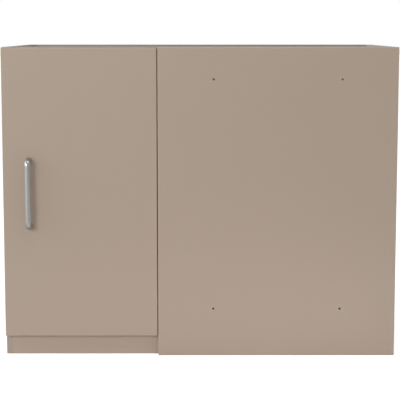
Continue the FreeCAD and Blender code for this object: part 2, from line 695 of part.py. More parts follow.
# Cup hinges: a cup sunk into the door's back carries the pin, and a cranked arm on the post turns on it.
HINGES = {"upper": "door_top - hinge_end_distance", "lower": "door_bottom + hinge_end_distance"}
cup_radius = "cup_bore_radius - cup_fit"
plate_across = "upright_left - door_right"
cup_screws = []
plate_screws = []
arm_screws = []
for name, level in HINGES.items():
    # The cup: a drawn steel bowl with a flange, two screw wings and two lugs for the pin
    cup_base = ("cup_across", "fronts_back - cup_bore_depth", level)
    bowl = rod("y", cup_base, cup_radius, "cup_bore_depth + flange_thickness")
    lip = rod("y", ("cup_across", "fronts_back", level), "cup_bore_radius + flange_lip", "flange_thickness")
    wings = box(
        ("cup_screw_across - wing_width / 2", "fronts_back", level + " - wing_span / 2"),
        ("wing_width", "flange_thickness", "wing_span"))
    hollow = rod("y", ("cup_across", "fronts_back - cup_bore_depth + cup_floor", level),
                 "cup_bore_radius - cup_fit - cup_wall", "cup_bore_depth + flange_thickness")
    lug_along = "fronts_back - cup_bore_depth + cup_floor / 2"
    lug_depth = "cup_bore_depth - cup_floor / 2 - pin_depth + lug_radius"
    lugs = []
    for lug_low in ("arm_width / 2 + lug_gap", "-arm_width / 2 - lug_gap - lug_width"):
        lugs.append(box(
            ("pin_across - lug_radius", lug_along, level + " + " + lug_low),
            ("2 * lug_radius", lug_depth, "lug_width")))
    pin_length = "arm_width + 2 * lug_gap + 2 * lug_width"
    pin_low = ("pin_across", "pin_along", "%s - (%s) / 2" % (level, pin_length))
    holes = [rod("z", pin_low, "pin_radius + pin_grip", pin_length)]
    for sign in ("-", "+"):
        spot = "%s %s cup_screw_spread / 2" % (level, sign)
        seat = ("cup_screw_across", "fronts_back", spot)
        holes.append(rod("y", seat, "screw_radius + slack", "flange_thickness"))
        cup_screws.append(join([
            rod("y", ("cup_screw_across", "fronts_back - screw_bite", spot), "screw_radius",
                "screw_bite + flange_thickness"),
            rod("y", ("cup_screw_across", "fronts_back + flange_thickness", spot), "screw_head_radius",
                "screw_head")]))
        hole_start = ("cup_screw_across", "fronts_back - screw_bite - slack", spot)
        bore("door_panel", "y", hole_start, screw_hole, screw_depth)
    piece("hinge_cup_" + name, cut(join([cut(join([bowl, lip, wings]), [hollow])] + lugs), holes))
    bore("door_panel", "y", cup_base, "cup_bore_radius", "cup_bore_depth")
    piece("hinge_pin_" + name, rod("z", pin_low, "pin_radius", pin_length))

    # The arm: from the plate it steps over to the cup's middle, dips in and turns back to the pin.
    arm = body_at("arm_" + name, ("door_right", "fronts_back", level))
    nose_low = "-pin_depth - arm_nose / 2"
    nose_high = "-pin_depth + arm_nose / 2"
    dip_right = "-pin_inset - arm_reach"
    dip_left = dip_right + " - arm_thickness"
    step_low = "front_gap + arm_step"
    step_high = step_low + " + arm_thickness"
    bar_right = plate_across + " - plate_height"
    bar_left = bar_right + " - arm_thickness"
    bar_end = "front_gap + arm_length"
    shape = sketch_on(arm, "XY_Plane")
    outline(shape, [
        ("-pin_inset", nose_low), ("-pin_inset", nose_high), (dip_right, nose_high), (dip_right, step_low),
        (bar_right, step_low), (bar_right, bar_end), (bar_left, bar_end), (bar_left, step_high),
        (dip_left, step_high), (dip_left, nose_low)])
    bar = pad(arm, shape, "arm_width", side="Symmetric")
    corner_limit = -sheet.get("pin_inset") - sheet.get("arm_corner")
    upright_edges = ["Edge%d" % number for number, edge in enumerate(bar.Shape.Edges, start=1)
                     if runs_along(edge, "z") and edge.CenterOfMass.x < corner_limit]
    softened = arm.newObject("PartDesign::Fillet", "corners")
    softened.Base = (bar, upright_edges)
    softened.setExpression("Radius", formula("arm_corner"))
    doc.recompute()
    knuckle = sketch_on(arm, "XY_Plane")
    circle(knuckle, ("-pin_inset", "-pin_depth"), "knuckle_radius")
    pad(arm, knuckle, "arm_width", side="Symmetric")
    eye = sketch_on(arm, "XY_Plane")
    circle(eye, ("-pin_inset", "-pin_depth"), "pin_radius + fit")
    pocket(arm, eye, "2 * arm_width", side="Symmetric")
    screws = sketch_on(arm, "YZ_Plane")
    for spot in ("front_gap + arm_screw_front", "front_gap + arm_screw_rear"):
        circle(screws, (spot, "0"), "screw_radius + slack / 2")
    pocket(arm, screws, "pin_inset + arm_reach + arm_thickness")
    piece("hinge_arm_" + name, arm)

    # The plate: a die-cast block with two screw wings, screwed to the post's side
    plate = body_at("plate_" + name, ("upright_left", "fronts_back", level))
    block_shape = sketch_on(plate, "YZ_Plane")
    plate_low = "front_gap + plate_start"
    plate_high = plate_low + " + plate_length"
    rectangle(block_shape, (plate_low, "-plate_width / 2"), (plate_high, "plate_width / 2"))
    pad(plate, block_shape, "plate_height", backwards=True)
    wing_shape = sketch_on(plate, "YZ_Plane")
    wing_low = "front_gap + plate_screw_row - plate_wing_width / 2"
    rectangle(wing_shape, (wing_low, "-plate_wing_span / 2"),
              (wing_low + " + plate_wing_width", "plate_wing_span / 2"))
    pad(plate, wing_shape, "plate_wing_height", backwards=True)
    fixings = sketch_on(plate, "YZ_Plane")
    for sign in ("-", ""):
        spot = sign + "plate_screw_spread / 2"
        circle(fixings, ("front_gap + plate_screw_row", spot), "screw_radius + slack")
    for spot in ("front_gap + arm_screw_front", "front_gap + arm_screw_rear"):
        circle(fixings, (spot, "0"), "screw_radius + fit")
    pocket(plate, fixings, "plate_height", backwards=False)
    piece("mounting_plate_" + name, plate)
    for sign in ("-", "+"):
        spot = "%s %s plate_screw_spread / 2" % (level, sign)
        plate_screws.append(join([
            rod("x", ("upright_left - plate_wing_height", "plate_screw_along", spot), "screw_radius",
                "plate_wing_height + screw_bite"),
            rod("x", ("upright_left - plate_wing_height - screw_head", "plate_screw_along", spot),
                "screw_head_radius", "screw_head")]))
        hole_start = ("upright_left", "plate_screw_along", spot)
        bore("centre_upright", "x", hole_start, screw_hole, screw_depth)
    for spot in ("arm_screw_front", "arm_screw_rear"):
        along = "carcass_front + " + spot
        arm_face = "upright_left - plate_height - arm_thickness"
        arm_screws.append(join([
            rod("x", (arm_face, along, level), "screw_radius", "arm_thickness + plate_height - slack"),
            rod("x", (arm_face + " - screw_head", along, level), "screw_head_radius", "screw_head")]))
piece("cup_screws", group(cup_screws))
piece("plate_screws", group(plate_screws))
piece("arm_screws", group(arm_screws))

# Soft buffers on the door's back meet the left side's front edge.
buffers = []
for level in ("door_bottom + buffer_inset", "door_top - buffer_inset"):
    dome = doc.addObject("Part::Cone", "buffer")
    dome.Placement = Placement(Vector(), TURNS["y"])
    dome.setExpression("Radius1", formula("buffer_radius"))
    dome.setExpression("Radius2", formula("buffer_tip_radius"))
    dome.setExpression("Height", formula("front_gap - buffer_clearance"))
    buffers.append(put(dome, ("left + board / 2", "fronts_back", level)))
piece("door_buffers", group(buffers))

# Drill every board with the holes noted for it.
for label, blank in blanks.items():
    piece(label, cut(blank, bores[label]))

doc.recompute()
for thing in doc.Objects:
    if "Invalid" in thing.State or "Error" in thing.State:
        raise ValueError("%s (%s) failed" % (thing.Name, thing.Label))
for thing in pieces:
    if thing.Shape.isNull() or not thing.Shape.isValid():
        raise ValueError("%s has no sound shape" % thing.Label)

os.makedirs("parts", exist_ok=True)
for thing in pieces:
    thing.Shape.exportStep(os.path.join("parts", thing.Label + ".step"))
    print(thing.Label, len(thing.Shape.Solids), "solids", round(thing.Shape.Volume), "mm3")
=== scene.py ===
import math

import bpy
import numpy as np
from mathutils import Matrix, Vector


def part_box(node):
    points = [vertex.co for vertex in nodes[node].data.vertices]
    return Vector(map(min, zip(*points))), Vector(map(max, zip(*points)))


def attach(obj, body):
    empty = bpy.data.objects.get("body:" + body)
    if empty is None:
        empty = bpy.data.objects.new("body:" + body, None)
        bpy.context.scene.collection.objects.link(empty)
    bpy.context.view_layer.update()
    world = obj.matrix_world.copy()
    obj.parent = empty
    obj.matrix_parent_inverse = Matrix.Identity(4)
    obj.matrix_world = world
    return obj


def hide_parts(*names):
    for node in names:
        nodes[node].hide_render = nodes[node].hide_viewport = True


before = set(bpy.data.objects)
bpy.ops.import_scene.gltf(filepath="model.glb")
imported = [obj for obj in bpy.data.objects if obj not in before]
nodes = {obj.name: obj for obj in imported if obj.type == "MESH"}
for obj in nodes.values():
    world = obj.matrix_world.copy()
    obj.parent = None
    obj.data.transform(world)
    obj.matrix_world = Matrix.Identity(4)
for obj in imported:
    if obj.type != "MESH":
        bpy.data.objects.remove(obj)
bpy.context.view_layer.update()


# Side panels: two upright boards of chipboard faced with taupe melamine, standing on the floor.
# Stud holes are drilled in rows in their inner faces. The raw core shows in every hole and on each
# cut edge, except the top edge, which carries a strip.
def add(tree, kind, inputs=None, **choices):
    """One shader node with its choices. Each input is a value, or the socket that feeds it."""
    node = tree.nodes.new("ShaderNode" + kind)
    for name, value in choices.items():
        setattr(node, name, value)
    for key, value in (inputs or {}).items():
        if isinstance(value, bpy.types.NodeSocket):
            tree.links.new(value, node.inputs[key])
        else:
            node.inputs[key].default_value = value
    return node


def blend(tree, share, first, second):
    """A colour that goes from the first to the second as the share goes from 0 to 1."""
    return add(tree, "Mix", {0: share, 6: first, 7: second}, data_type="RGBA").outputs[2]


def between(tree, share, first, second):
    """A value that goes from the first to the second as the share goes from 0 to 1."""
    return add(tree, "Mix", {0: share, 2: first, 3: second}).outputs[0]


def ramp(tree, value, start, end, low=0.0, high=1.0):
    """A value that goes from low to high while the given one goes from start to end."""
    return add(tree, "MapRange", {0: value, 1: start, 2: end, 3: low, 4: high}).outputs[0]


def spread(tree, value, low, high):
    """A value between 0 and 1 carried to the span from low to high."""
    return ramp(tree, value, 0.0, 1.0, low, high)


def calculate(tree, operation, *values):
    """The result of one arithmetic operation on values or sockets."""
    return add(tree, "Math", dict(enumerate(values)), operation=operation).outputs[0]


def noise(tree, place, scale, detail, roughness=0.5):
    """Cloudy grain between 0 and 1, finer as the scale grows."""
    grain = {"Vector": place, "Scale": scale, "Detail": detail, "Roughness": roughness}
    return add(tree, "TexNoise", grain).outputs[0]


def stretched(tree, place, factors):
    """A place with its coordinates multiplied, which draws a pattern out along those with a small factor."""
    return add(tree, "VectorMath", {0: place, 1: factors}, operation="MULTIPLY").outputs[0]


def facing(tree, way, axis):
    """How a surface faces an axis: 1 along it, 0 square to it and -1 against it."""
    return add(tree, "VectorMath", {0: way, 1: axis}, operation="DOT_PRODUCT").outputs["Value"]


def effect(name, takes, gives):
    """An empty node group with named inputs and outputs: its tree, what goes in and what comes out."""
    tree = bpy.data.node_groups.new(name, "ShaderNodeTree")
    for title, (kind, value) in takes.items():
        socket = tree.interface.new_socket(title, in_out="INPUT", socket_type="NodeSocket" + kind)
        socket.default_value = value
    for title, kind in gives.items():
        tree.interface.new_socket(title, in_out="OUTPUT", socket_type="NodeSocket" + kind)
    return tree, tree.nodes.new("NodeGroupInput").outputs, tree.nodes.new("NodeGroupOutput").inputs


def finish_inputs(tone, deep_tone, gloss_low, gloss_high):
    """The inputs of an effect that gives a whole finish, with their first values."""
    return {"Tone": ("Color", tone), "Deep tone": ("Color", deep_tone),
            "Gloss low": ("Float", gloss_low), "Gloss high": ("Float", gloss_high)}


def melamine_effect():
    """Printed paper under resin: tone drifts over half a metre, with a pearl grain of half a millimetre."""
    tree, takes, gives = effect(
        "melamine", finish_inputs((0.4, 0.3, 0.25, 1), (0.35, 0.28, 0.22, 1), 0.36, 0.46), FINISH)
    drift_share = 0.6
    fleck_share = 0.4
    place = add(tree, "TexCoord").outputs["Object"]
    drift = noise(tree, place, scale=2.2, detail=3.0)
    pearl = noise(tree, place, scale=1900.0, detail=2.0)
    fleck = noise(tree, place, scale=420.0, detail=4.0)
    touched = noise(tree, place, scale=9.0, detail=5.0, roughness=0.6)
    mixed = calculate(tree, "MULTIPLY_ADD", drift, drift_share, spread(tree, fleck, 0.0, fleck_share))
    gloss = ramp(tree, touched, 0.3, 0.7, takes["Gloss low"], takes["Gloss high"])
    tree.links.new(blend(tree, mixed, takes["Tone"], takes["Deep tone"]), gives["Color"])
    tree.links.new(gloss, gives["Roughness"])
    tree.links.new(pearl, gives["Height"])
    return tree


def core_effect():
    """Chipboard core: flat chips one to three millimetres long, each of its own tone, and dark glue gaps.
    Painted shade: as the unshaded value falls from 1 to 0, the walls of small holes darken towards a
    near-black colour that stands in for the shade inside them."""
    tree, takes, gives = effect(
        "chipboard core", {"Stretch": ("Vector", (1.0, 1.0, 1.0)), "Scorch": ("Float", 1.0)}, FINISH)
    dark_chip = (0.42, 0.28, 0.155, 1)
    pale_chip = (0.62, 0.45, 0.28, 1)
    glue = (0.2, 0.125, 0.065, 1)
    # A near-black colour for painted shade on the walls of holes.
    painted_hole_shade = (0.02, 0.013, 0.008, 1)
    place = add(tree, "TexCoord").outputs["Object"]
    drawn = stretched(tree, place, takes["Stretch"])
    chips = add(tree, "TexVoronoi", {"Vector": drawn, "Scale": 430.0}).outputs
    parts = add(tree, "SeparateColor", {0: chips["Color"]}).outputs
    gaps = ramp(tree, chips["Distance"], 0.35, 0.75)
    bare = blend(tree, gaps, blend(tree, parts[0], dark_chip, pale_chip), glue)
    tree.links.new(blend(tree, takes["Scorch"], painted_hole_shade, bare), gives["Color"])
    tree.links.new(spread(tree, parts[1], 0.75, 0.95), gives["Roughness"])
    tree.links.new(calculate(tree, "SUBTRACT", 1.0, gaps), gives["Height"])
    return tree


def faces_effect():
    """Where the facing paper lies, which is on the two broad faces, and which edge carries a strip."""
    tree, takes, gives = effect(
        "faced sides", {"Face axis": ("Vector", (1.0, 0.0, 0.0)), "Strip way": ("Vector", (0.0, 0.0, 1.0))},
        {"Mask": "Float", "Strip": "Float"})
    nearly_along = 0.7
    way = add(tree, "TexCoord").outputs["Normal"]
    broad = calculate(tree, "ABSOLUTE", facing(tree, way, takes["Face axis"]))
    strip = facing(tree, way, takes["Strip way"])
    most = calculate(tree, "MAXIMUM", broad, strip)
    edge = calculate(tree, "SUBTRACT", strip, broad)
    tree.links.new(calculate(tree, "GREATER_THAN", most, nearly_along), gives["Mask"])
    tree.links.new(calculate(tree, "GREATER_THAN", edge, nearly_along), gives["Strip"])
    return tree


def start_material(name, **plain):
    """A material with its shader: the plain values are the same all over the surface."""
    material = bpy.data.materials.new(name)
    material.use_nodes = True
    tree = material.node_tree
    shader = tree.nodes["Principled BSDF"]
    for title, value in plain.items():
        shader.inputs[title.replace("_", " ")].default_value = value
    return material, tree, shader


def placed(tree, grouped, **values):
    """A shared effect placed in a material with its own values."""
    node = tree.nodes.new("ShaderNodeGroup")
    node.node_tree = grouped
    for title, value in values.items():
        node.inputs[title.replace("_", " ")].default_value = value
    return node.outputs


def raise_surface(tree, shader, height, depth, strength):
    """Let a height of the given depth in metres tilt the surface."""
    bump = add(tree, "Bump", {"Height": height, "Distance": depth, "Strength": strength})
    tree.links.new(bump.outputs[0], shader.inputs["Normal"])


def faced_board(name, face_axis, strip_way, tone, deep_tone, gloss=0.36, hole_unshaded=1.0):
    """Melamine on the broad faces of a board, and bare chips on the edges and in the holes, where painted
    shade can darken them.
    """
    gloss_span = 0.1
    chip_draw = 0.45
    strip_smoothing = -0.25
    material, tree, shader = start_material(name)
    paper = placed(tree, MELAMINE, Tone=tone, Deep_tone=deep_tone, Gloss_low=gloss,
                   Gloss_high=gloss + gloss_span)
    # The last value paints shade into the bare core of the holes when it is below 1.
    core = placed(tree, CORE, Stretch=[1.0 if along else chip_draw for along in face_axis], Scorch=hole_unshaded)
    sides = placed(tree, FACES, Face_axis=face_axis, Strip_way=strip_way)
    mask = sides["Mask"]
    rough = between(tree, mask, core["Roughness"], paper["Roughness"])
    smoothed = calculate(tree, "MULTIPLY_ADD", sides["Strip"], strip_smoothing, rough)
    height = between(tree, mask, core["Height"], paper["Height"])
    tree.links.new(blend(tree, mask, core["Color"], paper["Color"]), shader.inputs["Base Color"])
    tree.links.new(smoothed, shader.inputs["Roughness"])
    raise_surface(tree, shader, height, depth=0.00012, strength=0.35)
    return material


def dress(material, *labels):
    """Give carried-over nodes their material."""
    for label in labels:
        for slot in nodes[label].material_slots:
            slot.material = material


FINISH = {"Color": "Color", "Roughness": "Float", "Height": "Float"}
MELAMINE = melamine_effect()
CORE = core_effect()
FACES = faces_effect()
UP = (0.0, 0.0, 1.0)
BACK = (0.0, 1.0, 0.0)
ACROSS = (1.0, 0.0, 0.0)
carcass_tone = (0.405, 0.342, 0.284, 1)
carcass_deep = (0.38, 0.319, 0.264, 1)
side_board = faced_board("side board", ACROSS, UP, carcass_tone, carcass_deep)
dress(side_board, "left_side_panel", "right_side_panel")

# Bottom panel, front rail, rear rail and centre post: the same faced chipboard, cut to fit between the
# sides. The two level boards lie flat, the rear rail stands on edge with a strip on top, and the post
# has a strip on its rear edge, which shows inside the open unit.
level_board = faced_board("level board", UP, BACK, carcass_tone, carcass_deep, gloss=0.55)
dress(level_board, "bottom_panel", "front_rail")
dress(faced_board("rear rail board", BACK, UP, carcass_tone, carcass_deep), "rear_rail")
dress(faced_board("post board", ACROSS, BACK, carcass_tone, carcass_deep), "centre_upright")

# Plinth: a board in the fronts' finish, set back under the door and screwed to blocks behind it.
# Its lower edge stands on the floor and is bare chipboard.
# Its tone is the fronts' tone made about a tenth lighter: painted light that makes up for the shade under the
# door.
plinth_lifted_tone = (0.440, 0.348, 0.275, 1)
plinth_lifted_deep = (0.425, 0.334, 0.264, 1)
dress(faced_board("plinth board", BACK, UP, plinth_lifted_tone, plinth_lifted_deep, gloss=0.46), "plinth_board")


# Carcass edging: thin strips of coloured plastic glued on the front edges of the boards.
# They are trimmed flush, so they only differ from the faces by a smoother, slightly shinier surface.
def rubbed_and_highlit_effect():
    """Rubbed wear and a painted highlight: where an edge turns away from all three axes, broken up by
    two-millimetre grain.
    """
    tree, takes, gives = effect("rubbed and highlit edges", {"Reach": ("Float", 0.12)}, {"Mask": "Float"})
    coords = add(tree, "TexCoord").outputs
    bits = add(tree, "SeparateXYZ", {0: coords["Normal"]}).outputs
    sizes = [calculate(tree, "ABSOLUTE", bit) for bit in bits]
    most = calculate(tree, "MAXIMUM", calculate(tree, "MAXIMUM", sizes[0], sizes[1]), sizes[2])
    edge = ramp(tree, calculate(tree, "SUBTRACT", 1.0, most), 0.0, takes["Reach"])
    broken = ramp(tree, noise(tree, coords["Object"], scale=480.0, detail=4.0), 0.42, 0.62)
    tree.links.new(calculate(tree, "MULTIPLY", edge, broken), gives["Mask"])
    return tree


def plastic_effect():
    """Moulded or rolled plastic: cloudy tone over centimetres and a fine matt skin."""
    tree, takes, gives = effect(
        "plastic skin", finish_inputs((0.5, 0.5, 0.5, 1), (0.45, 0.45, 0.45, 1), 0.3, 0.42), FINISH)
    place = add(tree, "TexCoord").outputs["Object"]
    cloud = noise(tree, place, scale=60.0, detail=4.0)
    matt = noise(tree, place, scale=2600.0, detail=1.0)
    gloss = ramp(tree, cloud, 0.3, 0.7, takes["Gloss low"], takes["Gloss high"])
    tree.links.new(blend(tree, cloud, takes["Tone"], takes["Deep tone"]), gives["Color"])
    tree.links.new(gloss, gives["Roughness"])
    tree.links.new(matt, gives["Height"])
    return tree


def plastic(name, tone, deep_tone, rubbed_and_highlight_tone, gloss_low, gloss_high, **plain):
    """A plastic with its cloudy tone, its matt skin and paler edges, partly rubbed wear and partly a painted
    highlight on the rounding.
    """
    material, tree, shader = start_material(name, **plain)
    moulded = placed(tree, PLASTIC, Tone=tone, Deep_tone=deep_tone, Gloss_low=gloss_low,
                     Gloss_high=gloss_high)
    rubbed_and_highlit = placed(tree, RUBBED_AND_HIGHLIT)["Mask"]
    # Rounded edges take the paler tone: part wear, part painted highlight.
    tree.links.new(blend(tree, rubbed_and_highlit, moulded["Color"], rubbed_and_highlight_tone), shader.inputs["Base Color"])
    tree.links.new(moulded["Roughness"], shader.inputs["Roughness"])
    raise_surface(tree, shader, moulded["Height"], depth=0.00006, strength=0.3)
    return material


RUBBED_AND_HIGHLIT = rubbed_and_highlit_effect()
PLASTIC = plastic_effect()
carcass_strip = plastic("carcass strip", (0.395, 0.322, 0.262, 1), (0.375, 0.305, 0.248, 1),
                        (0.43, 0.36, 0.3, 1), gloss_low=0.3, gloss_high=0.4)
dress(carcass_strip, "carcass_edging")


# Dowels: fluted beech pins with bevelled ends, which keep the boards in line.
# They are cut from a pressed rod and glued half into each board. The flutes let glue and air pass.
def solids_of(label):
    """The points of each separate solid of a node: triangles that share a corner belong to one solid."""
    decimals = 6
    mesh = nodes[label].data
    points = np.empty(len(mesh.vertices) * 3)
    mesh.vertices.foreach_get("co", points)
    corners = np.empty(len(mesh.loops), dtype=np.int64)
    mesh.loops.foreach_get("vertex_index", corners)
    rounded = np.round(points.reshape(-1, 3), decimals)
    spots, same = np.unique(rounded, axis=0, return_inverse=True)
    triangles = same.ravel()[corners].reshape(-1, 3)
    owner = np.arange(len(spots))
    settled = False
    while not settled:
        fresh = owner.copy()
        np.minimum.at(fresh, triangles, owner[triangles].min(axis=1)[:, None])
        fresh = fresh[fresh]
        settled = np.array_equal(fresh, owner)
        owner = fresh
    return [spots[owner == number] for number in np.unique(owner)]


def rods_of(label):
    """Each long solid of a node: the middle of its wider end, the way to its other end, and its length."""
    end_depth = 1e-5
    spots, ways, lengths = [], [], []
    for points in solids_of(label):
        low, high = points.min(axis=0), points.max(axis=0)
        axis = int(np.argmax(high - low))
        middle = (low + high) / 2
        out = np.linalg.norm(np.delete(points - middle, axis, axis=1), axis=1)
        near = np.isclose(points[:, axis], low[axis], atol=end_depth)
        far = np.isclose(points[:, axis], high[axis], atol=end_depth)
        forward = out[near].max() >= out[far].max()
        spot, way = middle.copy(), np.zeros(3)
        spot[axis] = low[axis] if forward else high[axis]
        way[axis] = 1.0 if forward else -1.0
        spots.append(spot)
        ways.append(way)
        lengths.append(float(high[axis] - low[axis]))
    return np.array(spots), np.array(ways), lengths


def swept_round(along, radius, columns):
    """Rings of a turned form: at each distance along the axis, a circle of that radius, in equal angles."""
    shape = (len(along), columns)
    angle = np.linspace(0, 2 * np.pi, columns, endpoint=False)
    radius = np.broadcast_to(np.asarray(radius, float).reshape(len(along), -1), shape)
    level = np.broadcast_to(np.asarray(along, float).reshape(len(along), -1), shape)
    return np.stack([radius * np.cos(angle), radius * np.sin(angle), level], axis=-1)


def skin(rings):
    """A closed surface over rings: quads between neighbours, and at each end a fan to the ring's middle."""
    rows, columns = rings.shape[:2]
    number = np.arange(rows * columns).reshape(rows, columns)
    ahead = np.roll(number, -1, axis=1)
    quads = np.stack([number[:-1], ahead[:-1], ahead[1:], number[1:]], axis=-1).reshape(-1, 4)
    first = np.full(columns, rows * columns)
    start = np.stack([first, ahead[0], number[0]], axis=-1)
    end = np.stack([first + 1, number[-1], ahead[-1]], axis=-1)
    points = np.concatenate([rings.reshape(-1, 3), [rings[0].mean(axis=0), rings[-1].mean(axis=0)]])
    return points, quads, np.concatenate([start, end])


def repeated(shape, spots, ways):
    """One shape at many places: its z axis turned to each way, its origin moved to each spot."""
    points, quads, triangles = shape
    helper = np.where(np.abs(ways[:, 2:]) < 0.5, UP, ACROSS)
    side = np.cross(helper, ways)
    turn = np.stack([side, np.cross(ways, side), ways], axis=1)
    step = (np.arange(len(spots)) * len(points))[:, None, None]
    return ((np.einsum("pi,kij->kpj", points, turn) + spots[:, None]).reshape(-1, 3),
            (quads + step).reshape(-1, 4), (triangles + step).reshape(-1, 3))


def make_piece(name, shape, material, body, replaced, sharp_angle=35):
    """A finished piece: smooth but for edges sharper than the given angle, riding on its body."""
    points, quads, triangles = shape
    mesh = bpy.data.meshes.new(name)
    mesh.from_pydata(points.tolist(), [], quads.tolist() + triangles.tolist())
    mesh.materials.append(material)
    mesh.shade_smooth()
    mesh.set_sharp_from_angle(angle=math.radians(sharp_angle))
    made = bpy.data.objects.new(name, mesh)
    bpy.context.scene.collection.objects.link(made)
    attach(made, body)
    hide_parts(replaced)


def fluted_pin(length, radius, bevel, flutes, flute_depth):
    """A pin whose radius dips by the flute depth in each flute, and draws in at both bevelled ends."""
    columns = flutes * 6
    bevel_slope = 0.6
    along = np.array([0.0, bevel, bevel * 2, length - bevel * 2, length - bevel, length])
    angle = np.linspace(0, 2 * np.pi, columns, endpoint=False)
    dip = flute_depth * (0.5 - 0.5 * np.cos(flutes * angle)) ** 2
    drawn_in = np.array([bevel, 0.0, 0.0, 0.0, 0.0, bevel]) * bevel_slope
    dip_share = np.array([0.3, 0.6, 1.0, 1.0, 0.6, 0.3])
    return skin(swept_round(along, radius - drawn_in[:, None] - dip_share[:, None] * dip, columns))


def beech():
    """Beech: fine growth lines and short dark flecks along the pin."""
    pale_wood = (0.6, 0.385, 0.205, 1)
    late_wood = (0.5, 0.3, 0.15, 1)
    ray_fleck = (0.3, 0.155, 0.07, 1)
    material, tree, shader = start_material("beech")
    place = add(tree, "TexCoord").outputs["Object"]
    lines = add(tree, "TexWave", {"Vector": place, "Scale": 260.0, "Distortion": 5.0, "Detail": 3.0},
                bands_direction="DIAGONAL").outputs["Fac"]
    drawn = stretched(tree, place, (0.25, 1.0, 1.0))
    flecks = add(tree, "TexVoronoi", {"Vector": drawn, "Scale": 1500.0}).outputs["Distance"]
    wood = blend(tree, lines, pale_wood, late_wood)
    flecked = blend(tree, ramp(tree, flecks, 0.16, 0.05), wood, ray_fleck)
    tree.links.new(flecked, shader.inputs["Base Color"])
    tree.links.new(spread(tree, lines, 0.5, 0.68), shader.inputs["Roughness"])
    raise_surface(tree, shader, lines, depth=0.0001, strength=0.4)
    return material


pin_spots, pin_ways, pin_lengths = rods_of("dowels")
pin = fluted_pin(float(np.median(pin_lengths)), radius=0.004, bevel=0.0012, flutes=14, flute_depth=0.00035)
make_piece("fluted_dowels", repeated(pin, pin_spots, pin_ways), beech(), "carcass", "dowels")


# Cam bolts and cam locks: a turned bolt is screwed into each side and its head reaches into a zinc cam.
# A quarter turn of the cast cam, through the cross slot in its face, draws the board tight to the side.
def plating_effect():
    """Plated metal: cloudy tone over a centimetre, and fine scratches where drawn-out grain is highest."""
    tree, takes, gives = effect(
        "plated metal", finish_inputs((0.7, 0.7, 0.7, 1), (0.6, 0.6, 0.6, 1), 0.25, 0.4), FINISH)
    scratch_dulling = 0.12
    place = add(tree, "TexCoord").outputs["Object"]
    cloud = noise(tree, place, scale=140.0, detail=5.0)
    lines = noise(tree, stretched(tree, place, (0.06, 1.0, 0.35)), scale=2300.0, detail=2.0)
    scratch = ramp(tree, lines, 0.62, 0.7)
    gloss = ramp(tree, cloud, 0.3, 0.7, takes["Gloss low"], takes["Gloss high"])
    dulled = calculate(tree, "MULTIPLY_ADD", scratch, scratch_dulling, gloss)
    tree.links.new(blend(tree, cloud, takes["Tone"], takes["Deep tone"]), gives["Color"])
    tree.links.new(dulled, gives["Roughness"])
    tree.links.new(calculate(tree, "SUBTRACT", 1.0, scratch), gives["Height"])
    return tree


def plated(name, tone, deep_tone, gloss_low, gloss_high):
    """Metal under a thin plate."""
    material, tree, shader = start_material(name, Metallic=1.0)
    plate = placed(tree, PLATING, Tone=tone, Deep_tone=deep_tone, Gloss_low=gloss_low,
                   Gloss_high=gloss_high)
    tree.links.new(plate["Color"], shader.inputs["Base Color"])
    tree.links.new(plate["Roughness"], shader.inputs["Roughness"])
    raise_surface(tree, shader, plate["Height"], depth=0.00001, strength=0.1)
    return material


def turned_bolt(length, bite, radius, pitch):
    """A bolt: ridges of thread along the bite, a collar at the board's face, a slim neck and a grooved head.
    Each pair is a distance and the share of the radius there, from the bite on or back from the end."""
    collar = [(0.0002, 1.0), (0.0016, 1.0), (0.0018, 0.78)]
    head = [(0.009, 0.78), (0.0085, 1.0), (0.006, 1.0), (0.0055, 0.6), (0.0035, 0.6), (0.003, 1.0),
            (0.0006, 1.0), (0.0, 0.8)]
    root_share = 0.72
    thread = np.linspace(0.0, bite, 45)
    ridge = np.abs((thread / pitch) % 1.0 - 0.5) * 2
    tail = [past for past, share in collar] + [length - bite - back for back, share in head]
    tail_share = [share for distance, share in collar + head]
    along = np.concatenate([thread, bite + np.array(tail)])
    out = radius * np.concatenate([root_share + (1 - root_share) * ridge, tail_share])
    return skin(swept_round(along, out, columns=20))


PLATING = plating_effect()
zinc = plated("bright zinc", (0.69, 0.69, 0.675, 1), (0.56, 0.56, 0.55, 1), gloss_low=0.24, gloss_high=0.4)
bolt_spots, _, bolt_lengths = rods_of("cam_bolts")
bolt = turned_bolt(float(np.median(bolt_lengths)), bite=0.011, radius=0.0025, pitch=0.0018)
outer_end = bolt_spots[:, 0].min()
outer_ends = bolt_spots.copy()
outer_ends[:, 0] = np.where(bolt_spots[:, 0] < 0, outer_end, -outer_end)
inward = -np.sign(outer_ends[:, :1]) * ACROSS
make_piece("turned_bolts", repeated(bolt, outer_ends, inward), zinc, "carcass", "cam_bolts")
cast_zinc = plated("cast zinc", (0.5, 0.5, 0.49, 1), (0.4, 0.4, 0.395, 1), gloss_low=0.38, gloss_high=0.55)
dress(cast_zinc, "cam_locks")


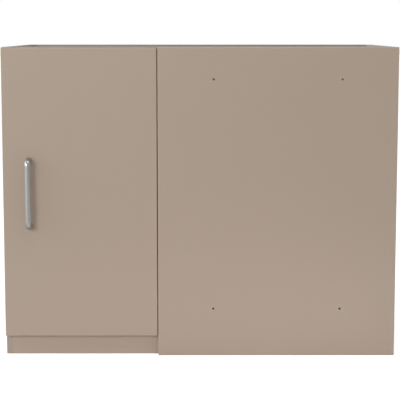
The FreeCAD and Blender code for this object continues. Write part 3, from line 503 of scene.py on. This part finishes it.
# Back panel: a thin sheet of hardboard, lacquered in the carcass colour inside and bare fibre outside.
# It is set in a little from the outline and nailed to the sides, the bottom and the rear rail.
def hardboard():
    """Pressed brown fibre outside, with a faint screen pattern two millimetres apart, and lacquer inside."""
    dark_patch = (0.235, 0.145, 0.08, 1)
    pale_patch = (0.29, 0.185, 0.108, 1)
    pale_fibre = (0.36, 0.245, 0.15, 1)
    screen_rate = 3140.0
    nearly_inward = -0.7
    material, tree, shader = start_material("hardboard")
    coords = add(tree, "TexCoord").outputs
    fibre = noise(tree, coords["Object"], scale=700.0, detail=6.0)
    patch = noise(tree, coords["Object"], scale=14.0, detail=4.0)
    parts = add(tree, "SeparateXYZ", {0: coords["Object"]}).outputs
    waves = [calculate(tree, "SINE", calculate(tree, "MULTIPLY", parts[axis], screen_rate))
             for axis in (0, 2)]
    screen = calculate(tree, "MULTIPLY", waves[0], waves[1])
    patched = blend(tree, patch, dark_patch, pale_patch)
    brown = blend(tree, spread(tree, fibre, -0.1, 0.9), patched, pale_fibre)
    lacquer = placed(tree, MELAMINE, Tone=carcass_tone, Deep_tone=carcass_deep)
    inner = calculate(tree, "LESS_THAN", facing(tree, coords["Normal"], BACK), nearly_inward)
    rough = between(tree, inner, spread(tree, fibre, 0.62, 0.85), lacquer["Roughness"])
    height = between(tree, inner, spread(tree, screen, 0.3, 0.5), lacquer["Height"])
    tree.links.new(blend(tree, inner, brown, lacquer["Color"]), shader.inputs["Base Color"])
    tree.links.new(rough, shader.inputs["Roughness"])
    raise_surface(tree, shader, height, depth=0.00015, strength=0.4)
    return material


dress(hardboard(), "back_panel")


# Nails: small round wire nails with flat heads and gripping rings, cut from wire and plated with zinc.
# They are driven through the back panel until their heads are flush with its face.
def wire_nail(length, head_radius, head, shank_radius):
    """A flat head with a bevelled rim, gripping rings under it, a plain shank and a drawn-out point."""
    ring_count = 13
    head_along = np.array([0.0, 0.0, 0.1, 0.9, 1.0]) * head
    head_out = np.array([0.3, 0.9, 1.0, 1.0, 0.9]) * head_radius
    ring_along = head + np.linspace(0.0003, 0.0035, ring_count)
    ring_out = shank_radius * np.tile([1.0, 0.86, 1.0, 0.93], 4)[:ring_count]
    tip_along = length - np.array([0.0025, 0.001, 0.0])
    tip_out = shank_radius * np.array([0.93, 0.5, 0.05])
    along = np.concatenate([head_along, ring_along, tip_along])
    return skin(swept_round(along, np.concatenate([head_out, ring_out, tip_out]), columns=16))


nail_spots, nail_ways, nail_lengths = rods_of("back_panel_nails")
nail = wire_nail(float(np.median(nail_lengths)), head_radius=0.0022, head=0.0008, shank_radius=0.0008)
make_piece("wire_nails", repeated(nail, nail_spots, nail_ways), zinc, "carcass",
           "back_panel_nails")

# Shelf: one faced board on four studs, with a strip on its front edge and bare chips on the other three.
# The studs are moulded plastic, a pin pushed into a stud hole and a block that the shelf lies on.
dress(faced_board("shelf board", UP, UP, carcass_tone, carcass_deep), "shelf")
dress(carcass_strip, "shelf_edging")
stud_plastic = plastic("stud plastic", (0.74, 0.74, 0.72, 1), (0.68, 0.68, 0.66, 1), (0.8, 0.8, 0.78, 1),
                       gloss_low=0.18, gloss_high=0.28, Subsurface_Weight=0.15, Subsurface_Scale=0.003)
dress(stud_plastic, "shelf_supports")

# Blank panel: a fixed front of faced chipboard that closes the blind half and reaches the floor.
# A thick rounded plastic strip is glued along each edge, and four holes take the screws of a corner post.
front_tone = (0.400, 0.316, 0.250, 1)
front_deep = (0.386, 0.304, 0.240, 1)
# Its holes take strong painted shade: their walls go three quarters of the way to near black.
front_board = faced_board("front board", BACK, BACK, front_tone, front_deep, gloss=0.46, hole_unshaded=0.25)
front_strip = plastic("front strip", (0.425, 0.336, 0.266, 1), (0.407, 0.320, 0.253, 1),
                      (0.45, 0.362, 0.292, 1), gloss_low=0.48, gloss_high=0.58)
dress(front_board, "blank_panel")
dress(front_strip, "blank_panel_edging")


# Panel blocks: moulded plastic blocks that hold the blank panel clear of the carcass edge.
# Each is screwed sideways into the post or the right side, and forward into the panel.
def rounded_block(low, high, radius, steps=5):
    """A block with rounded edges: each point of a fine sphere of that radius is pushed out to the nearest
    corner of the inner block, so the gaps between the sphere's eight parts open into the flat faces."""
    quarter = np.linspace(0, np.pi / 2, steps)
    angle = np.concatenate([quarter + turn * np.pi / 2 for turn in range(4)])
    tilt = np.concatenate([quarter - np.pi / 2, quarter])
    sign_x = np.repeat([1.0, -1.0, -1.0, 1.0], steps)
    sign_y = np.repeat([1.0, 1.0, -1.0, -1.0], steps)
    sign_z = np.repeat([-1.0, 1.0], steps)
    half = (high - low) / 2 - radius
    ring = np.cos(tilt)[:, None]
    x = radius * ring * np.cos(angle) + sign_x * half[0]
    y = radius * ring * np.sin(angle) + sign_y * half[1]
    z = np.broadcast_to((radius * np.sin(tilt) + sign_z * half[2])[:, None], x.shape)
    return skin(np.stack([x, y, z], axis=-1) + (low + high) / 2)


def together(shapes):
    """Several shapes as one."""
    counts = np.cumsum([0] + [len(points) for points, quads, triangles in shapes])
    return (np.concatenate([shape[0] for shape in shapes]),
            np.concatenate([shape[1] + count for shape, count in zip(shapes, counts)]),
            np.concatenate([shape[2] + count for shape, count in zip(shapes, counts)]))


def blocks_of(label, radius):
    """A rounded block in the place of each solid of a node."""
    boxes = [(points.min(axis=0), points.max(axis=0)) for points in solids_of(label)]
    return together([rounded_block(low, high, radius) for low, high in boxes])


block_plastic = plastic("block plastic", (0.62, 0.58, 0.52, 1), (0.56, 0.52, 0.465, 1), (0.68, 0.64, 0.58, 1),
                        gloss_low=0.38, gloss_high=0.52)
make_piece("moulded_panel_blocks", blocks_of("panel_blocks", radius=0.0016), block_plastic, "carcass",
           "panel_blocks")


# Block screws: chipboard screws with a low round head and a cross recess, rolled from wire and zinc plated.
# Twelve of them hold the panel blocks, two in each, to the carcass and to the panel.
def cross_screw(length, head_radius, head, shank_radius, pitch):
    """A screw: a domed head with a cross pressed into it, and a shank whose radius rises and falls once a
    pitch, later by a full turn round the axis, which makes the thread a helix. It draws out to a point."""
    columns = 28
    least_rows = 12
    rows_per_pitch = 7
    slot_width = 0.15 * head_radius
    slot_reach = 0.6 * head_radius
    slot_depth = 0.72 * head
    dome_height = 0.35 * head
    point_length = 2.2 * shank_radius
    tip_share = 0.08
    under_head = 0.0001
    root_share = 0.7
    angle = np.linspace(0, 2 * np.pi, columns, endpoint=False)
    ring = np.ones(columns)
    share = np.array([0.06, 0.14, 0.22, 0.3, 0.38, 0.46, 0.54, 0.62, 0.72, 0.82, 0.9, 0.96])[:, None]
    reach = share * head_radius * ring
    across, up = np.abs(reach * np.cos(angle)), np.abs(reach * np.sin(angle))
    farther = np.maximum(across, up)
    in_cross = (np.minimum(across, up) < slot_width) & (farther < slot_reach)
    domed = dome_height * share ** 2
    top = domed + in_cross * (slot_depth - domed) * (1 - 0.5 * farther / slot_reach)
    rim = np.array([0.42, 0.6, 0.92, 1.0])[:, None] * head
    rim_radius = np.array([0.99, 1.0, 1.0, 0.97])[:, None] * head_radius
    rows = max(least_rows, int((length - head) / pitch * rows_per_pitch))
    turns = np.linspace(head + under_head, length, rows)[:, None]
    wave = np.abs((turns / pitch - angle / (2 * np.pi)) % 1.0 - 0.5) * 2
    pointed = np.clip((length - turns) / point_length, tip_share, 1.0)
    crest = np.clip(1.6 * wave - 0.5, 0, 1)
    thread = shank_radius * pointed * (root_share + (1 - root_share) * crest)
    level = np.concatenate([top, rim * ring, turns * ring])
    radius = np.concatenate([reach, rim_radius * ring, thread])
    return skin(np.stack([radius * np.cos(angle), radius * np.sin(angle), level], axis=-1))


def put_screws(name, label, material, body, head_radius=0.0033, head=0.0018, shank_radius=0.00175,
               pitch=0.0016):
    """A cross-recess screw in the place of each solid of a node, of its own length."""
    spots, ways, lengths = rods_of(label)
    shapes = []
    for number, length in enumerate(lengths):
        screw = cross_screw(length, head_radius, head, shank_radius, pitch)
        shapes.append(repeated(screw, spots[number:number + 1], ways[number:number + 1]))
    make_piece(name, together(shapes), material, body, label)


put_screws("panel_block_screws", "block_screws", zinc, "carcass")

# Plinth blocks and their screws: three small moulded blocks behind the plinth.
# Each has one screw up into the bottom panel and one forward into the plinth.
make_piece("moulded_plinth_blocks", blocks_of("plinth_blocks", radius=0.0014), block_plastic, "carcass",
           "plinth_blocks")
put_screws("plinth_block_screws", "plinth_screws", zinc, "carcass")

# Mounting plates and hinge arms: die-cast plates screwed to the post, and pressed arms bolted on them.
# Plates, arms and pins are nickel plated, and an arm is bent so that it dips into the cup to the pin.
nickel = plated("nickel plate", (0.73, 0.715, 0.69, 1), (0.66, 0.645, 0.62, 1), gloss_low=0.25,
                gloss_high=0.34)
cast_nickel = plated("die-cast nickel", (0.64, 0.63, 0.61, 1), (0.57, 0.56, 0.545, 1), gloss_low=0.36,
                     gloss_high=0.48)
dress(cast_nickel, "mounting_plate_upper", "mounting_plate_lower")
dress(nickel, "hinge_arm_upper", "hinge_arm_lower", "hinge_pin_upper", "hinge_pin_lower")
put_screws("mounting_plate_screws", "plate_screws", nickel, "carcass")
put_screws("hinge_arm_screws", "arm_screws", nickel, "carcass")

# Door: the moving front, of the same faced chipboard and rounded strips as the blank panel.
# It is bored from the back for the hinge cups, and drilled through for the handle's screws.
dress(front_board, "door_panel")
dress(front_strip, "door_edging")

# Hinge cups: bowls drawn from steel sheet and nickel plated, sunk into the door's back up to their flange.
# Two screws hold each cup by its wings, and two lugs in the bowl carry the pin.
dress(nickel, "hinge_cup_upper", "hinge_cup_lower")
put_screws("hinge_cup_screws", "cup_screws", nickel, "door")


# Door buffers: low domes of soft clear plastic that quiet the closing door.
# They are moulded and stuck on the door's back, where it meets the left side's edge.
def dome(height, radius, tip_radius):
    """A low dome: a straight foot, then a quarter ellipse from the foot's radius up to the flat tip."""
    foot_share = 0.25
    flat_radius = tip_radius * 0.4
    arc = np.linspace(0, np.pi / 2, 9)
    along = np.concatenate([[0.0], height * (foot_share + (1 - foot_share) * np.sin(arc))])
    out = np.concatenate([[radius], flat_radius + (radius - flat_radius) * np.cos(arc)])
    return skin(swept_round(along, out, columns=32))


buffer_plastic = plastic("buffer plastic", (0.78, 0.78, 0.76, 1), (0.72, 0.72, 0.7, 1), (0.82, 0.82, 0.8, 1),
                         gloss_low=0.16, gloss_high=0.26, Subsurface_Weight=0.3, Subsurface_Scale=0.002)
buffer_boxes = np.array([(points.min(axis=0), points.max(axis=0)) for points in solids_of("door_buffers")])
buffer_feet = buffer_boxes.mean(axis=1)
buffer_feet[:, 1] = buffer_boxes[:, 0, 1]
buffer_height = float(buffer_boxes[0, 1, 1] - buffer_boxes[0, 0, 1])
buffer = dome(buffer_height, radius=0.005, tip_radius=0.0036)
make_piece("soft_buffers", repeated(buffer, buffer_feet, np.tile(BACK, (len(buffer_feet), 1))),
           buffer_plastic, "door", "door_buffers")


# Handle: a round steel bar bent back to the door at both ends, nickel plated and brushed lengthwise.
# Two machine screws through the door hold it by its feet.
def bent_bar(across, face, low_end, high_end, projection, radius, bend):
    """A circle carried along a line that leaves the door, turns a quarter circle, runs down and turns back.
    Each ring stands square to the line, so its two axes are the x axis and the line's own normal."""
    foot_rows = 4
    reach = projection - radius
    top, bottom = high_end - radius, low_end + radius
    quarter = np.linspace(0, np.pi / 2, 20)
    turn_y = face - (reach - bend) - bend * np.sin(quarter)
    turn_up = top - bend + bend * np.cos(quarter)
    turn_down = bottom + bend - bend * np.cos(quarter)
    run = np.linspace(top - bend, bottom + bend, 30)[1:-1]
    foot_y = face - np.linspace(0, reach - bend, foot_rows + 1)[:-1]
    line_y = np.concatenate([foot_y, turn_y, np.full(len(run), face - reach), turn_y[::-1], foot_y[::-1]])
    line_z = np.concatenate([np.full(foot_rows, top), turn_up, run, turn_down[::-1],
                             np.full(foot_rows, bottom)])
    line = np.stack([np.full(len(line_y), across), line_y, line_z], axis=1)
    tangent = np.gradient(line, axis=0)
    tangent[0] = (0, -1, 0)
    tangent[-1] = (0, 1, 0)
    tangent /= np.linalg.norm(tangent, axis=1)[:, None]
    normal = np.cross(tangent, ACROSS)
    angle = np.linspace(0, 2 * np.pi, 48, endpoint=False)[:, None]
    return skin(line[:, None] + radius * np.cos(angle) * ACROSS + radius * np.sin(angle) * normal[:, None])


def satin_nickel():
    """Brushed plate: grain drawn out forty times along the bar, and a faint cloud of handling."""
    dark_line = (0.455, 0.455, 0.45, 1)
    bright_line = (0.515, 0.515, 0.51, 1)
    brush_dulling = 0.08
    material, tree, shader = start_material("satin nickel", Metallic=1.0, Anisotropic=0.4)
    place = add(tree, "TexCoord").outputs["Object"]
    brushed = noise(tree, stretched(tree, place, (1.0, 1.0, 0.025)), scale=3600.0, detail=3.0)
    cloud = noise(tree, place, scale=45.0, detail=4.0)
    rough = calculate(tree, "MULTIPLY_ADD", brushed, brush_dulling, spread(tree, cloud, 0.3, 0.36))
    tree.links.new(blend(tree, brushed, dark_line, bright_line), shader.inputs["Base Color"])
    tree.links.new(rough, shader.inputs["Roughness"])
    raise_surface(tree, shader, brushed, depth=0.00003, strength=0.3)
    return material


bar_low, bar_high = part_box("handle")
bar = bent_bar((bar_low.x + bar_high.x) / 2, bar_high.y, bar_low.z, bar_high.z, bar_high.y - bar_low.y,
               radius=(bar_high.x - bar_low.x) / 2, bend=0.012)
make_piece("bow_handle", bar, satin_nickel(), "door", "handle", sharp_angle=50)
put_screws("handle_machine_screws", "handle_screws", zinc, "door", head_radius=0.0045, head=0.0024,
           shank_radius=0.002, pitch=0.0011)


# Studio: a plain pale floor between two white walls, the left one brighter, and a pale backdrop behind.
# Soft boxes hang at the front left and overhead, and two low strips in front lift the foot of the fronts.
# The camera stands in front at a little above worktop height and looks slightly down.
def soft_light(name, spot, target, width, height, power):
    """A soft box: a rectangle of light that faces its target."""
    lamp = bpy.data.lights.new(name, "AREA")
    lamp.shape = "RECTANGLE"
    lamp.size = width
    lamp.size_y = height
    lamp.energy = power
    lit = bpy.data.objects.new(name, lamp)
    bpy.context.scene.collection.objects.link(lit)
    lit.location = spot
    lit.visible_camera = False
    aim = np.array(target, float) - np.array(spot, float)
    lit.rotation_euler = (math.acos(-aim[2] / np.linalg.norm(aim)), 0, math.atan2(-aim[0], aim[1]))


floor_reach = 40
floor_corners = [(x * floor_reach, y * floor_reach, 0) for x, y in ((-1, -1), (1, -1), (1, 1), (-1, 1))]
floor_grey = (0.7, 0.7, 0.7, 1)
floor_pale = (0.72, 0.72, 0.72, 1)
unlit = (0.0, 0.0, 0.0, 1)
floor_mesh = bpy.data.meshes.new("floor")
floor_mesh.from_pydata(floor_corners, [], [(0, 1, 2, 3)])
floor = bpy.data.objects.new("floor", floor_mesh)
bpy.context.scene.collection.objects.link(floor)
pale, pale_tree, pale_shader = start_material("pale floor", Roughness=0.9, Emission_Strength=1.0)
pale_noise = add(pale_tree, "TexNoise", {"Scale": 3.0, "Detail": 2.0}).outputs[0]
pale_tree.links.new(blend(pale_tree, pale_noise, floor_grey, floor_pale), pale_shader.inputs["Base Color"])
lifted = add(pale_tree, "LightPath").outputs["Is Camera Ray"]
pale_tree.links.new(blend(pale_tree, lifted, unlit, floor_pale), pale_shader.inputs["Emission Color"])
floor_mesh.materials.append(pale)

backdrop_glow = 0.5
left_wall_glow = 2.25
right_wall_glow = 0.85
pure_white = (1, 1, 1, 1)
world = bpy.data.worlds.new("studio")
world.use_nodes = True
bpy.context.scene.world = world
sky = world.node_tree
glow = sky.nodes["Background"]
look = add(sky, "SeparateXYZ", {0: add(sky, "TexCoord").outputs["Generated"]}).outputs
backdrop = ramp(sky, look[1], -0.1, 0.5, high=backdrop_glow)
left_wall = ramp(sky, look[0], -0.5, -0.85, high=left_wall_glow)
right_wall = ramp(sky, look[0], 0.5, 0.85, high=right_wall_glow)
around = calculate(sky, "ADD", backdrop, calculate(sky, "ADD", left_wall, right_wall))
glow.inputs["Color"].default_value = pure_white
sky.links.new(around, glow.inputs["Strength"])
white = add(sky, "Background", {"Color": pure_white, "Strength": 1.0})
seen = add(sky, "LightPath").outputs["Is Camera Ray"]
mixed_sky = add(sky, "MixShader", {0: seen, 1: glow.outputs[0], 2: white.outputs[0]})
sky.links.new(mixed_sky.outputs[0], sky.nodes["World Output"].inputs["Surface"])
soft_light("front left box", (-2.4, -4.7, 1.9), (-0.1, -0.27, 0.4), width=1.8, height=1.4, power=97)
soft_light("overhead box", (0.1, -1.7, 3.4), (0.1, -0.27, 0.4), width=3.0, height=1.0, power=37)
soft_light("low right strip", (0.7, -0.75, 0.02), (0.7, -0.32, 0.05), width=1.5, height=0.2, power=0.8)
soft_light("low front strip", (-0.1, -0.56, 0.015), (-0.1, -0.28, 0.06), width=1.3, height=0.12, power=0.43)

look_down = 7.267
look_right = 0.081
camera_data = bpy.data.cameras.new("camera")
camera_data.lens = 120.36
camera_data.sensor_width = 36
camera = bpy.data.objects.new("camera", camera_data)
bpy.context.scene.collection.objects.link(camera)
camera.location = (-0.0046, -3.6445, 0.8339)
camera.rotation_euler = (math.radians(90 - look_down), 0, math.radians(-look_right))
bpy.context.scene.camera = camera
bpy.context.scene.view_settings.view_transform = "Standard"
